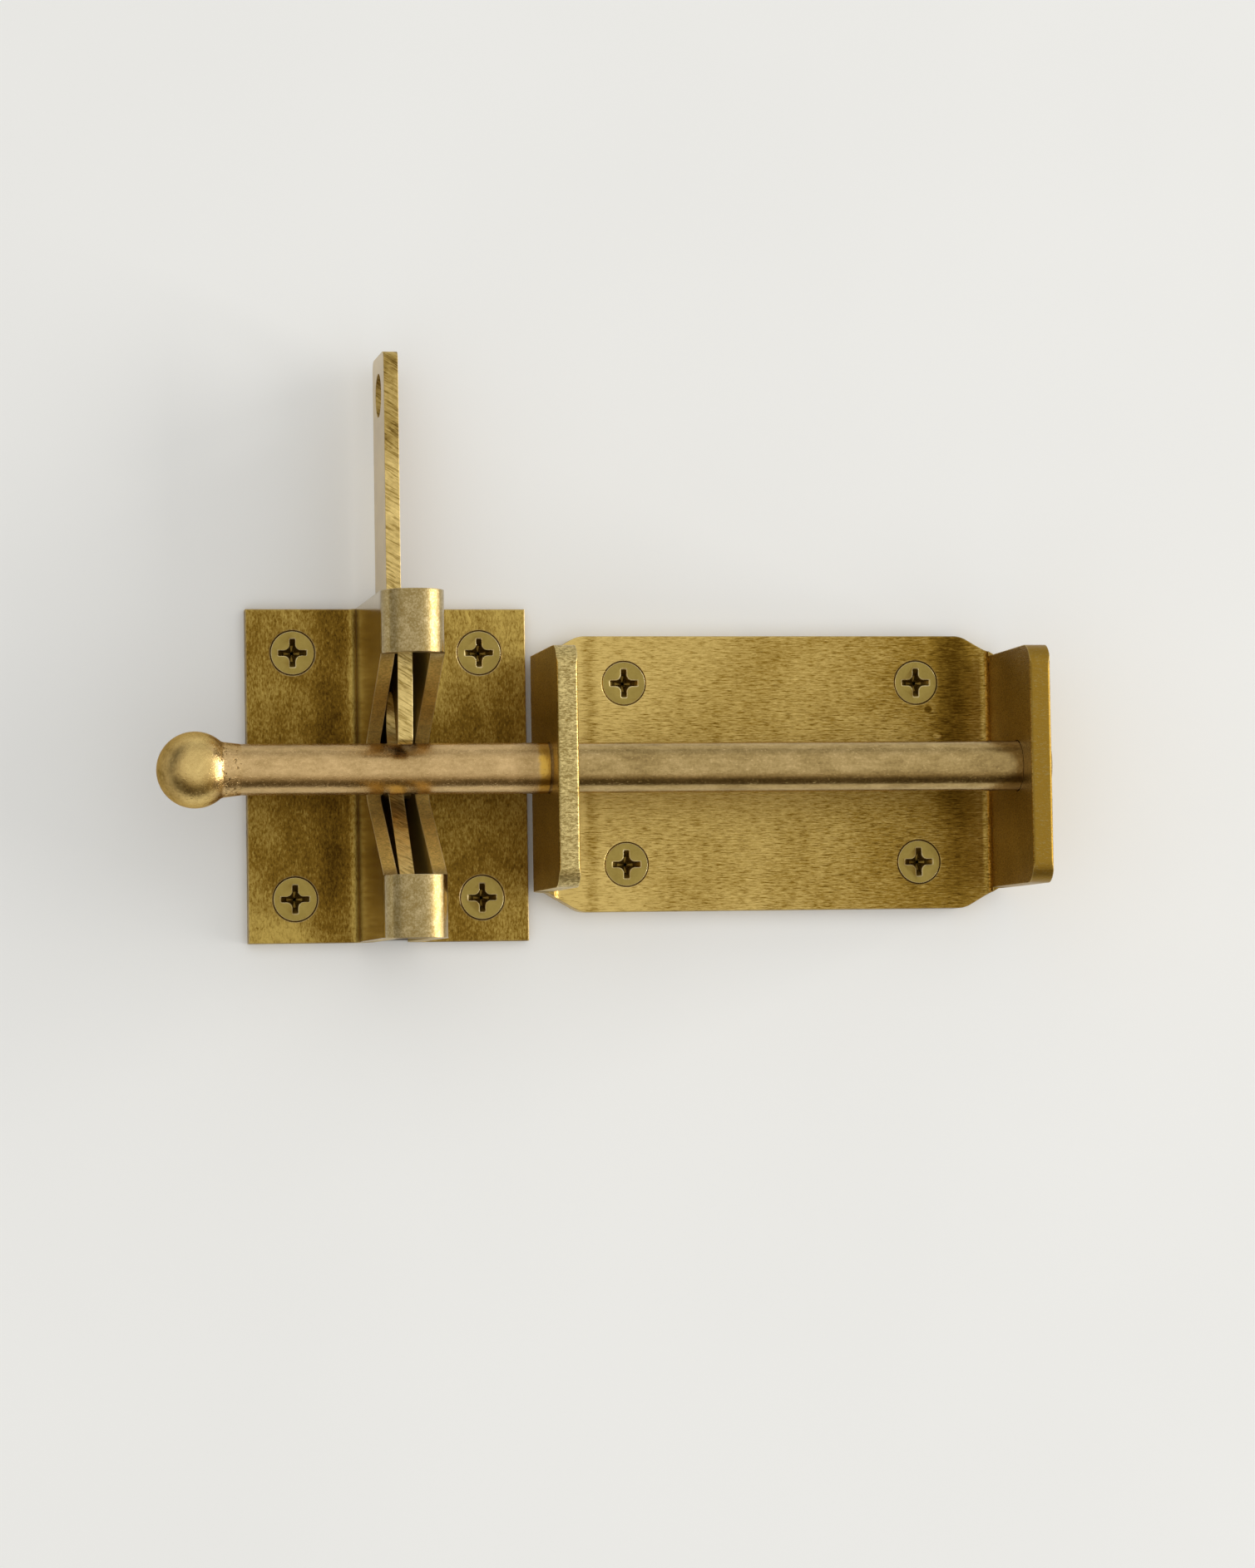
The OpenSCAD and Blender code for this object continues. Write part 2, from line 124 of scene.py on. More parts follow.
class Shade:
    """Builds the nodes of one material or of the world."""

    def __init__(self, tree):
        self.tree = tree
        tree.nodes.clear()

    def node(self, kind, settings=None, sockets=None, output=0):
        """Adds a node with its settings, then its socket values or links, and gives the output asked for."""
        made = self.tree.nodes.new(kind)
        for key, value in (settings or {}).items():
            if key == "stops":
                self.set_stops(made.color_ramp, value)
            else:
                setattr(made, key, value)
        for key, value in (sockets or {}).items():
            if isinstance(value, Value):
                self.tree.links.new(value.socket, made.inputs[key])
            else:
                made.inputs[key].default_value = value
        return Value(self, made.outputs[output]) if made.outputs else made

    def set_stops(self, ramp, stops):
        while len(ramp.elements) < len(stops):
            ramp.elements.new(0.5)
        for element, (place, colour) in zip(ramp.elements, stops):
            element.position = place
            element.color = (*colour, 1.0)

    def place(self):
        """The point on the piece in millimetres, in the latch's own frame."""
        point = self.node("ShaderNodeTexCoord", None, None, "Object")
        return self.stretch(point, 1.0 / MM, 1.0 / MM, 1.0 / MM)

    def split(self, vector):
        made = self.node("ShaderNodeSeparateXYZ", None, {0: vector}).socket.node
        return [Value(self, made.outputs[i]) for i in range(3)]

    def stretch(self, vector, x=1.0, y=1.0, z=1.0):
        """The point with its coordinates multiplied, so a pattern runs long where the number is small."""
        settings = {"operation": "MULTIPLY"}
        return self.node("ShaderNodeVectorMath", settings, {0: vector, 1: (x, y, z)}, "Vector")

    def noise(self, vector, scale=1.0, detail=2.0, rough=0.5, distort=0.0):
        return self.node("ShaderNodeTexNoise", {"noise_dimensions": "3D"}, {
            "Vector": vector, "Scale": scale, "Detail": detail, "Roughness": rough, "Distortion": distort})

    def mix(self, share, a, b, kind="MIX"):
        """A colour between a and b."""
        a, b = (colour if isinstance(colour, Value) else (*colour, 1.0) for colour in (a, b))
        settings = {"data_type": "RGBA", "blend_type": kind}
        return self.node("ShaderNodeMix", settings, {0: share, 6: a, 7: b}, 2)

    def facing(self):
        """The face's own normal, as three numbers."""
        return self.split(self.node("ShaderNodeNewGeometry", None, None, "True Normal"))

    def soft_normal(self, radius):
        return self.node("ShaderNodeBevel", {"samples": 6}, {"Radius": radius * MM})

    def wear(self, radius):
        """1 on worn edges and 0 on flat faces."""
        geometry = self.node("ShaderNodeNewGeometry", None, None, "Normal")
        dot = self.node("ShaderNodeVectorMath", {"operation": "DOT_PRODUCT"},
                        {0: self.soft_normal(radius), 1: geometry}, "Value")
        return (1.0 - dot).step(0.002, 0.12)

    def finish(self, colour, rough, height, lift, soft=None, grazing=(1.0, 1.0, 1.0)):
        """Ends the material in metal. The bump is lift millimetres deep, edges are softened over soft
        millimetres, and grazing is the metal's colour at the piece's outline."""
        bump = {"Height": height, "Strength": 1.0, "Distance": lift * MM}
        if soft:
            bump["Normal"] = self.soft_normal(soft)
        surface = self.node("ShaderNodeBsdfPrincipled", None, {
            "Base Color": colour, "Roughness": rough, "Metallic": 1.0, "Specular Tint": (*grazing, 1.0),
            "Normal": self.node("ShaderNodeBump", None, bump)})
        self.node("ShaderNodeOutputMaterial", None, {"Surface": surface})


def material(name):
    made = bpy.data.materials.new(name)
    made.use_nodes = True
    return made, Shade(made.node_tree)


def dress(node, made):
    """Gives a CAD node its finish."""
    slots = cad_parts[node].data.materials
    slots.clear()
    slots.append(made)


def near(value, middle, half):
    """1 at middle, falling to 0 at half either side."""
    return 1.0 - abs(value - middle).step(0.0, half)


def oval(x, z, middle_x, middle_z, half_x, half_z):
    """1 at a point of a plate, falling to 0 at the rim of an oval round it."""
    across, up = (x - middle_x) / half_x, (z - middle_z) / half_z
    return 1.0 - (across * across + up * up).step(0.3, 1.0)


def blend(share, a, b):
    """The number a where share is 0, and b where it is 1."""
    return a * (1.0 - share) + b * share


def brass_colour(shade, tone, light, dark, brown):
    """Goes from brown tarnish through dark to light brass as tone goes from 0 to 1."""
    stops = [(0.0, brown), (0.45, dark), (1.0, light)]
    return shade.node("ShaderNodeValToRGB", {"stops": stops}, {0: tone})


# ---------------------------------------------------------------- finishes

def guide_finish(brass):
    """Sheet with a brushed grain along the bolt, smoky bands by the bends and sawn ends on the ears."""
    made, s = material("guide_brass")
    p = s.place()
    x, y, z = s.split(p)
    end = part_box("guide_plate")[1].x / MM
    sheet = 1.0 - (-y).step(4.6, 6.0)
    ear_end = (1.0 - abs(s.facing()[0]).step(0.4, 0.6)) * (-y).step(7.0, 9.0)

    # grain along the bolt, then broad clouds, and two patterns that fray the smoky bands
    fine = s.noise(s.stretch(p, 0.7, 3.0, 4.0), 1.0, 3.0, 0.7)
    streak = s.noise(s.stretch(p, 0.16, 1.0, 3.0), 1.0, 4.0, 0.7, 0.2)
    dash = s.noise(s.stretch(p, 0.42, 1.0, 4.6), 1.0, 3.0, 0.6).step(0.52, 0.66)
    fleck = s.noise(s.stretch(p, 0.9, 1.0, 4.2), 1.1, 2.0, 0.6).step(0.6, 0.74)
    cloud = s.noise(p, 0.06, 3.0, 0.55, 0.4)
    patch = s.noise(s.stretch(p, 0.7, 1.0, 1.1), 0.3, 4.0, 0.6)
    wobble = s.noise(s.stretch(p, 0.0, 0.3, 0.2), 1.0, 3.0, 0.6)
    blot = s.noise(s.stretch(p, 1.0, 1.0, 0.45), 0.7, 3.0, 0.6)

    # where the sheet is smoky, rubbed, brown, lightened by painted highlights at the bends, or marked
    smoke_x = x + (wobble - 0.5) * 2.5
    right_smoke = near(smoke_x, end - 10.9, 5.2) * (0.35 + 1.1 * blot).clamp() * sheet * z.step(-40.0, 16.0)
    left_smoke = near(smoke_x, 11.7 - end, 1.9) * (0.4 + blot).clamp()
    smoke = (0.46 * right_smoke + 0.3 * left_smoke).clamp()
    rubbed_side = 1.0 - x.step(-40.0, -8.0)
    brown_side = x.step(-4.0, 34.0)
    # painted highlights: lighter tone on the flat sheet at each bend, standing in for the bend's reflection
    right_bend_highlight = x.step(end - 8.6, end - 4.1)
    left_bend_highlight = 1.0 - x.step(9.1 - end, 10.6 - end)
    spot = oval(x, z, end - 15.9, 12.2, 0.9, 0.8)
    dent = oval(x, z, end - 14.1, 7.0, 1.1, 0.7)

    tone = 0.74 + 0.6 * (cloud - 0.5) + 0.7 * (streak - 0.5) + 1.3 * (fine - 0.5) + 0.15 * (patch - 0.5)
    tone = tone - 0.34 * dash * (0.4 + patch) + 0.14 * fleck
    tone = tone + (0.2 * rubbed_side - 0.2 * brown_side + 0.1 * right_bend_highlight + 0.12 * left_bend_highlight) * sheet
    tone = tone - smoke - 0.16 * (1.0 - sheet) - 0.5 * spot + 0.3 * dent
    flat = brass_colour(s, tone.clamp(), brass.guide_light, brass.guide_dark, brass.guide_brown)

    # the ears' sawn ends, duller on the right ear
    ripple = s.noise(s.stretch(p, 0.7, 0.7, 1.8), 2.0, 3.0, 0.65, 0.5)
    lines = s.noise(s.stretch(p, 0.2, 1.0, 2.2), 1.6, 2.0, 0.6)
    sawn_tone = (0.66 + 1.9 * (ripple - 0.5) + 0.4 * (lines - 0.5) - 0.72 * x.step(-10.0, 30.0)).clamp()
    sawn = brass_colour(s, sawn_tone, brass.sawn_light, brass.sawn_dark, brass.guide_dark)
    worn = s.wear(0.4) * (0.6 - 0.3 * x.step(0.0, 30.0))
    colour = s.mix(worn, s.mix(ear_end, flat, sawn), brass.sawn_light)

    rough = 0.36 + 0.16 * (fine - 0.5) - 0.05 * tone + 0.08 * ear_end
    height = blend(ear_end, fine * 0.5 + streak * 0.35 - dash * 0.4 + dent, ripple * 1.7 + lines * 0.4)
    s.finish(colour, rough, height, 0.045, 0.28)
    return made


def keeper_finish(brass):
    """Folded sheet with a mottled brown patina, polished bridges and a notch left bright from the saw."""
    made, s = material("keeper_brass")
    low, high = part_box("keeper_plate")
    middle = (low.x + high.x) / 2 / MM
    p = s.place()
    x, y, z = s.split(p)
    nx, ny, nz = s.facing()
    across = x - middle
    reach = -y

    # upright grain, patina clouds, pits, and the satin of the bridges and walls
    weave = s.noise(s.stretch(p, 1.7, 1.7, 0.8), 1.5, 4.0, 0.7)
    fine = s.noise(s.stretch(p, 3.4, 3.4, 1.3), 1.0, 3.0, 0.6)
    cloud = s.noise(p, 0.075, 4.0, 0.6, 0.5)
    patch = s.noise(s.stretch(p, 1.3, 1.0, 0.6), 0.16, 4.0, 0.6, 0.6)
    pits = s.noise(s.stretch(p, 1.0, 1.0, 0.7), 1.9, 3.0, 0.65).step(0.54, 0.68)
    grit = s.noise(p, 2.4, 3.0, 0.7)
    mottle = s.noise(p, 0.5, 4.0, 0.65, 0.3)
    drawn = s.noise(s.stretch(p, 2.0, 2.0, 0.3), 1.0, 3.0, 0.6)

    # parts of the keeper: the flat plate, the standing walls, and stretches that are darker or lighter
    plate = 1.0 - reach.step(3.4, 6.0)
    wall = abs(nx).step(0.55, 0.85) * (1.0 - plate)
    by_channel = near(across, -10.5, 6.5) * plate
    mid_height = 1.0 - abs(z).step(4.0, 25.0)
    shade_right = near(across, 13.0, 9.0) * plate * mid_height
    # painted highlight: a lighter stretch at the upper right of the plate
    corner = near(across, 25.0, 8.0) * z.step(10.0, 26.0)
    lean, scratch_x, scratch_z = 0.35, 15.9, 30.0
    scratch = oval(across + lean * z, z, scratch_x + lean * scratch_z, scratch_z, 0.35, 1.6)
    # painted highlight: a bright line along the fold beside the channel
    fold = near(across, -6.2, 1.6) * (1.0 - reach.step(3.4, 5.4))
    top_right = z.step(2.0, 16.0) * across.step(-2.0, 10.0) * (1.0 - across.step(16.0, 24.0))
    low_left = (-z).step(18.0, 30.0) * (1.0 - across.step(6.0, 14.0))

    tone = 0.6 + 0.95 * (cloud - 0.5) + 0.6 * (patch - 0.5) + 1.2 * (weave - 0.5) + 0.9 * (fine - 0.5)
    tone = tone - 0.22 * pits - 0.26 * by_channel - 0.08 * shade_right - 0.12 * mid_height * plate
    tone = tone + 0.12 * corner + 0.3 * scratch + 0.2 * top_right + 0.2 * low_left + 0.3 * fold
    patina = brass_colour(s, tone.clamp(), brass.keeper_light, brass.keeper_dark, brass.keeper_brown)
    drawn_tone = (0.78 + 0.5 * (drawn - 0.5) + 0.3 * (mottle - 0.5)).clamp()
    smooth = brass_colour(s, drawn_tone, brass.wall_light, brass.bridge_dark, brass.keeper_dark)
    inside = 1.0 - abs(across).step(4.3, 4.8)
    colour = s.mix(wall, patina, s.mix(inside, smooth, brass.keeper_light))

    # polished bridges, bare slopes of the notch, and worn edges
    bridge = reach.step(37.0, 40.5)
    satin = (0.5 + 1.1 * (grit - 0.5) + 0.7 * (mottle - 0.5)).clamp()
    polish = brass_colour(s, satin, brass.bridge_light, brass.bridge_dark, brass.keeper_dark)
    sawn = abs(nz).step(0.3, 0.5) * (-ny).step(0.2, 0.35) * reach.step(13.0, 15.0) * (1.0 - bridge)
    cut_tone = (0.7 + 0.9 * (grit - 0.5) + 0.5 * (mottle - 0.5)).clamp()
    cut = brass_colour(s, cut_tone, brass.notch, brass.lever_dark, brass.keeper_dark)
    colour = s.mix(sawn, s.mix(bridge, colour, polish), cut)
    colour = s.mix(s.wear(0.4) * 0.65, colour, brass.bridge_light)

    rough = blend(bridge, 0.42 + 0.16 * (weave - 0.5), 0.33 + 0.12 * (grit - 0.5))
    rough = blend(wall, rough, 0.14 + 0.36 * inside + 0.08 * (mottle - 0.5))
    rough = blend(sawn, rough, 0.62)
    height = (weave * 0.8 + fine * 0.35 + grit * 0.3 - pits * 0.3 + scratch) * (1.0 - 0.93 * wall)
    s.finish(colour, rough, height, 0.03, 0.35)
    return made


def lever_finish(brass):
    """Bar with diagonal file marks along its edges and smooth sides."""
    made, s = material("toggle_brass")
    p = s.place()
    z = s.split(p)[2]
    nx = s.facing()[0]
    side = abs(nx).step(0.5, 0.7)
    dimmed_right_side = nx.step(0.3, 0.6)
    sunk = 1.0 - abs(z).step(18.0, 26.0)
    # file marks, aslant across the edges
    slant = s.node("ShaderNodeMapping", {"vector_type": "POINT"},
                   {"Vector": p, "Rotation": (0.0, math.radians(-30.0), 0.0)})
    cut = s.noise(s.stretch(slant, 0.25, 0.3, 2.4), 1.0, 2.0, 0.6)
    fine = s.noise(s.stretch(slant, 0.4, 0.4, 4.5), 1.0, 2.0, 0.6)
    mark = cut.step(0.5, 0.62)
    cloud = s.noise(s.stretch(p, 0.5, 0.5, 1.0), 0.22, 3.0, 0.6)
    stain = s.noise(p, 1.1, 3.0, 0.7)

    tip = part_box("toggle_lever")[1].z / MM
    worn_tip = z.step(tip - 24.0, tip - 15.0)
    tone = 0.82 + 0.1 * sunk * (-z).step(-6.0, 2.0) - 0.3 * worn_tip - 0.3 * mark
    tone = tone + 0.7 * (fine - 0.5) + 0.7 * (cloud - 0.5) + 0.5 * (stain - 0.5)
    edge = brass_colour(s, tone.clamp(), brass.lever_light, brass.lever_dark, brass.guide_brown)
    # painted light: the foot below the bolt lies in the bolt's shade, so its edge is made brighter to match
    # the edge above
    foot = (-z).step(4.0, 8.0) * (1.0 - side)
    edge = s.mix(foot * 0.8, edge, s.mix(1.0, edge, brass.lever_foot_painted_light, "MULTIPLY"))
    smooth_tone = (0.7 + 0.4 * (cloud - 0.5) + 0.2 * (stain - 0.5)).clamp()
    smooth = brass_colour(s, smooth_tone, brass.guide_light, brass.guide_dark, brass.guide_brown)
    # painted shade: the right side, unseen from the front, is darker brown so that it throws less reflected
    # light onto the wall
    smooth = s.mix(dimmed_right_side * 0.9, smooth, brass.keeper_dark)
    colour = s.mix(s.wear(0.3) * 0.5, s.mix(side, edge, smooth), brass.bridge_light)

    side_rough = 0.2 + 0.08 * (stain - 0.5) + 0.3 * dimmed_right_side
    rough = blend(side, 0.5 - 0.16 * sunk + 0.2 * (cut - 0.5), side_rough)
    height = blend(side, cut * 0.9 - mark * 0.5 + fine * 0.5, stain * 0.15)
    s.finish(colour, rough, height, 0.05, 0.2)
    return made


def bronze(s, brass, p, x):
    """Colour, roughness and height of the cast bolt, rosy outside the ear and rubbed bare beside it."""
    ear, far_end = (corner.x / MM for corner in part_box("guide_plate"))
    toggle = sum(corner.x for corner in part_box("toggle_lever")) / 2 / MM
    speck = s.noise(p, 1.7, 4.0, 0.7)
    fleck = s.noise(s.stretch(p, 0.6, 1.1, 1.1), 2.2, 2.0, 0.6).step(0.58, 0.72)
    cloud = s.noise(s.stretch(p, 0.6, 1.0, 1.0), 0.16, 4.0, 0.6, 0.5)
    smear = s.noise(s.stretch(p, 0.35, 1.3, 1.3), 0.8, 3.0, 0.6)

    # along the bolt: rosy outside the ear, darker at the toggle with painted shade, grimy and rubbed bare at
    # the ear, with a painted shade line at the ear's face
    rosy = 1.0 - x.step(ear - 4.0, ear + 4.0)
    # painted shade: the bolt is darkened under the toggle, where the toggle's shade falls
    stain = near(x, toggle - 1.4, 9.0)
    far_dark = near(x, far_end - 4.1, 8.0)
    grime = near(x, ear - 4.6, 3.4) * smear.step(0.3, 0.6)
    ragged = x + (smear - 0.5) * 1.6
    rub = ragged.step(ear - 2.9, ear - 1.9) * (1.0 - x.step(ear - 0.5, ear - 0.2))
    # painted shade: a thin dark line on the bolt where it enters the ear
    ear_shade_line = near(x, ear - 0.25, 0.3)

    tone = 0.5 + 0.75 * (speck - 0.5) + 0.22 * fleck + 0.8 * (cloud - 0.5) + 0.6 * (smear - 0.5)
    tone = (tone + 0.27 * rosy - 0.06 * stain - 0.3 * grime - 0.25 * far_dark).clamp()
    colour = brass_colour(s, tone, brass.bolt_light, brass.bolt_dark, brass.bolt_brown)
    colour = s.mix(rosy * 0.5, colour, s.mix(1.0, colour, brass.bolt_rosy, "MULTIPLY"))
    colour = s.mix(rub * (0.55 + 0.6 * smear).clamp(), colour, brass.bolt_rubbed)
    colour = s.mix(ear_shade_line * 0.8, colour, brass.guide_brown)
    rough = 0.21 + 0.14 * (speck - 0.5) + 0.05 * rosy - 0.06 * rub
    return colour, rough, speck * 0.5 + fleck * 0.4 + smear * 0.3


def bolt_finish(brass):
    """Cast bar, satin and speckled."""
    made, s = material("bolt_bronze")
    p = s.place()
    colour, rough, height = bronze(s, brass, p, s.split(p)[0])
    s.finish(colour, rough, height, 0.03)
    return made


def ball_finish(brass):
    """Turned ball, brazed on, with a pitted joint that runs into the bolt."""
    made, s = material("ball_brass")
    start, end = (corner.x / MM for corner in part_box("ball_end"))
    p = s.place()
    x = s.split(p)[0]
    speck = s.noise(p, 1.6, 4.0, 0.7)
    cloud = s.noise(p, 0.22, 3.0, 0.6, 0.4)
    lump = s.noise(p, 0.7, 3.0, 0.6)
    joint = near(x, end - 2.2, 4.6)
    pit = s.noise(p, 1.5, 2.0, 0.6).step(0.6, 0.68) * joint
    outer = 1.0 - x.step(start + 0.5, start + 6.5)
    skin, skin_rough, skin_height = bronze(s, brass, p, x)
    on_neck = (x + (lump - 0.5) * 5.0).step(end - 7.0, end - 3.0)

    tone = 0.74 + 0.7 * (speck - 0.5) + 0.8 * (cloud - 0.5) - 0.4 * outer
    colour = brass_colour(s, tone.clamp(), brass.ball_light, brass.ball_dark, brass.guide_brown)
    colour = s.mix(pit * 0.7, s.mix(on_neck, colour, skin), brass.guide_brown)
    rough = blend(on_neck, 0.27 + 0.14 * (speck - 0.5) + 0.06 * outer, skin_rough)
    fade = 1.0 - x.step(end - 1.2, end)
    height = speck * 0.4 + skin_height + fade * (lump * 2.4 * joint - pit * 2.0)
    s.finish(colour, rough, height, 0.05, grazing=(0.78, 0.64, 0.42))
    return made


def small_finish(name, light, dark, brown, rough, spread=0.5, edge=None):
    """Smooth turned brass for the pin, the washers and the screws."""
    made, s = material(name)
    p = s.place()
    speck = s.noise(p, 1.8, 3.0, 0.65)
    cloud = s.noise(p, 0.35, 3.0, 0.6, 0.3)
    tone = (0.6 + spread * (cloud - 0.5) + 0.8 * spread * (speck - 0.5)).clamp()
    colour = brass_colour(s, tone, light, dark, brown)
    colour = s.mix((s.wear(0.16) * 1.2).clamp(), colour, edge or light)
    s.finish(colour, rough + 0.1 * (speck - 0.5), speck, 0.012, 0.12)
    return made


# ---------------------------------------------------------------- settings

def colour_setting(name, text, value, top=1.0):
    return FloatVectorProperty(name=name, description=text, default=value, min=0.0, max=top,
                               subtype="COLOR", size=3)


def place_setting(name, text, value):
    return FloatVectorProperty(name=name, description=text, default=value,
                               subtype="TRANSLATION", unit="LENGTH", size=3, precision=5)


def length_setting(name, text, value, low, high):
    """A length given in millimetres."""
    return FloatProperty(name=name, description=text, default=value * MM, min=low * MM, max=high * MM,
                         subtype="DISTANCE", unit="LENGTH")


def power_setting(name, text, value):
    return FloatProperty(name=name, description=text, default=value, min=0.0, max=500.0,
                         subtype="POWER", unit="POWER")


class LatchBrass(bpy.types.PropertyGroup):
    """Colours of the aged brass."""

    guide_light: colour_setting("Guide light", "Rubbed brass of the guide plate", (0.7, 0.51, 0.165))
    guide_dark: colour_setting("Guide dark", "Dulled brass of the guide plate", (0.3, 0.178, 0.024))
    guide_brown: colour_setting("Guide brown", "Tarnish of the guide plate", (0.1, 0.05, 0.004))
    sawn_light: colour_setting("Sawn light", "High spots of the ears' sawn ends", (0.84, 0.68, 0.3))
    sawn_dark: colour_setting("Sawn dark", "Low spots of the ears' sawn ends", (0.33, 0.24, 0.08))
    keeper_light: colour_setting("Keeper light", "Rubbed brass of the keeper plate", (0.56, 0.4, 0.1))
    keeper_dark: colour_setting("Keeper dark", "Dulled brass of the keeper plate", (0.23, 0.13, 0.016))
    keeper_brown: colour_setting("Keeper brown", "Tarnish of the keeper plate", (0.08, 0.04, 0.005))
    bridge_light: colour_setting("Bridge light", "Polish on the keeper's bridges", (0.74, 0.59, 0.33))
    bridge_dark: colour_setting("Bridge dark", "Dull spots on the keeper's bridges", (0.35, 0.26, 0.105))
    wall_light: colour_setting("Wall light", "Drawn brass on the keeper's standing walls", (0.84, 0.72, 0.5))
    notch: colour_setting("Notch", "Bare brass on the slopes of the keeper's notch", (0.9, 0.63, 0.19))
    lever_light: colour_setting("Toggle light", "Filed brass of the toggle's edges", (0.86, 0.66, 0.26))
    lever_dark: colour_setting("Toggle dark", "Between the toggle's file marks", (0.4, 0.275, 0.075))
    # painted light: brightens the toggle's foot, which lies in the bolt's shade
    lever_foot_painted_light: colour_setting("Toggle foot", "Multiplies the brass of the foot", (1.25, 1.27, 1.35), 2.0)
    bolt_light: colour_setting("Bolt light", "Specks on the bolt", (0.72, 0.53, 0.25))
    bolt_dark: colour_setting("Bolt dark", "Satin of the bolt", (0.42, 0.295, 0.115))
    bolt_brown: colour_setting("Bolt brown", "Tarnish of the bolt", (0.18, 0.11, 0.035))
    bolt_rosy: colour_setting("Bolt rosy", "Multiplies the bronze of the bolt's outer end", (1.0, 0.89, 0.9))
    bolt_rubbed: colour_setting("Bolt rubbed", "Band of the bolt that rubs in the ear", (0.66, 0.4, 0.06))
    ball_light: colour_setting("Ball light", "Rubbed brass of the ball", (0.84, 0.62, 0.24))
    ball_dark: colour_setting("Ball dark", "Dulled brass of the ball", (0.5, 0.34, 0.12))
    screw_rim: colour_setting("Screw rim", "Bright rims and worn edges of the screws", (0.95, 0.84, 0.56))
    recess: colour_setting("Recess", "Tarnish in the screws' cross recesses", (0.26, 0.17, 0.035))
    screw_light: colour_setting("Screw light", "Rubbed brass of the screws", (0.5, 0.38, 0.11))
    screw_dark: colour_setting("Screw dark", "Dulled brass of the screws", (0.3, 0.215, 0.05))
    screw_brown: colour_setting("Screw brown", "Tarnish of the screws", (0.12, 0.07, 0.012))


class LatchScrews(bpy.types.PropertyGroup):
    """Sizes of the wood screws."""

    edge: length_setting("Edge", "Height of the head's straight edge", 0.1, 0.0, 1.0)
    seat: length_setting("Seat", "Depth at which the cone would be as wide as the head", 0.2, 0.0, 1.0)
    shank: length_setting("Shank", "Radius of the plain shank", 2.08, 1.0, 3.0)
    past: length_setting("Past", "Length of the plain shank behind the plate", 0.4, 0.0, 3.0)
    point: length_setting("Point", "Length over which the thread narrows to the point", 5.0, 1.0, 10.0)
    cone: FloatProperty(name="Cone", description="Angle of the head's cone from the screw's axis",
                        default=math.radians(41.0), min=0.5, max=1.2, subtype="ANGLE", unit="ROTATION")
    thread_pitch: length_setting("Pitch", "Distance between turns of the thread", 1.7, 1.0, 3.0)
    core: length_setting("Core", "Radius at the root of the thread", 1.35, 1.0, 2.0)
    crest: length_setting("Crest", "Radius over the thread", 2.06, 1.5, 3.0)
    wing: length_setting("Wing", "Width of one wing of the cross recess", 1.05, 0.6, 2.0)
    span: length_setting("Span", "Distance across the cross recess", 5.5, 3.0, 7.0)
    hollow: length_setting("Hollow", "Radius of the hollow corners between the wings", 1.15, 0.1, 1.5)
    depth: length_setting("Depth", "Depth of the cross recess", 1.9, 1.0, 3.0)
    rim: length_setting("Rim", "Width of the bright chamfers round the recess and the head", 0.18, 0.0, 0.5)


class LatchStage(bpy.types.PropertyGroup):
    """Wall, light and camera."""

    wall: colour_setting("Wall", "Colour of the painted wall", (0.925, 0.934, 0.928))
    # Channel is painted shade: a dark patch on the wall inside the keeper's channel, where it lies in shade
    channel: colour_setting("Channel", "Grime on the wall inside the keeper's channel", (0.1, 0.062, 0.02))
    key: power_setting("Key", "Power of the large lamp on the right", 54.0)
    back: power_setting("Back", "Power of the lamp behind the wall", 6.0)
    fill: FloatProperty(name="Fill", description="Strength of the light from the room",
                        default=0.735, min=0.0, max=5.0)
    eye: place_setting("Eye", "Camera's place from the latch's middle", (-0.15125, -0.8540625, -0.070525))
    aim: place_setting("Aim", "Point looked at, from the latch's middle", (0.0083, 0.0149375, -0.025385))
    lens: FloatProperty(name="Lens", description="Focal length of the camera on a 36 mm sensor",
                        default=105.4, min=20.0, max=300.0, subtype="DISTANCE_CAMERA", unit="CAMERA")
    roll: FloatProperty(name="Roll", description="Turn of the camera about its own line of sight",
                        default=math.radians(-0.88), min=-0.5, max=0.5, subtype="ANGLE", unit="ROTATION")


# ---------------------------------------------------------------- making

def deselect():
    if bpy.context.mode != "OBJECT":
        bpy.ops.object.mode_set(mode="OBJECT")
    bpy.ops.object.select_all(action="DESELECT")


def pick(test, kind="FACE"):
    """Selects the faces, edges or vertices of the mesh being edited that pass the test."""
    bpy.ops.mesh.select_all(action="DESELECT")
    bpy.ops.mesh.select_mode(type=kind)
    made = bmesh.from_edit_mesh(bpy.context.object.data)
    items = {"FACE": made.faces, "EDGE": made.edges, "VERT": made.verts}[kind]
    found = [i for i in items if test(i)]
    for i in found:
        i.select_set(True)
    made.select_flush_mode()
    bmesh.update_edit_mesh(bpy.context.object.data)
    return len(found)


def take(piece, *others):
    """Selects these pieces alone and makes the first the active one."""
    deselect()
    for each in (piece, *others):
        each.select_set(True)
    bpy.context.view_layer.objects.active = piece


def apply_modifiers(piece):
    bpy.context.view_layer.objects.active = piece
    for m in list(piece.modifiers):
        bpy.ops.object.modifier_apply(modifier=m.name)


def settle(piece):
    """Puts the piece's place into its mesh."""
    take(piece)
    bpy.ops.object.transform_apply(location=True, rotation=True, scale=True)


def face_outward():
    """Turns the normals of the mesh being edited outward and ends the editing."""
    bpy.ops.mesh.select_all(action="SELECT")
    bpy.ops.mesh.normals_make_consistent(inside=False)
    bpy.ops.object.mode_set(mode="OBJECT")


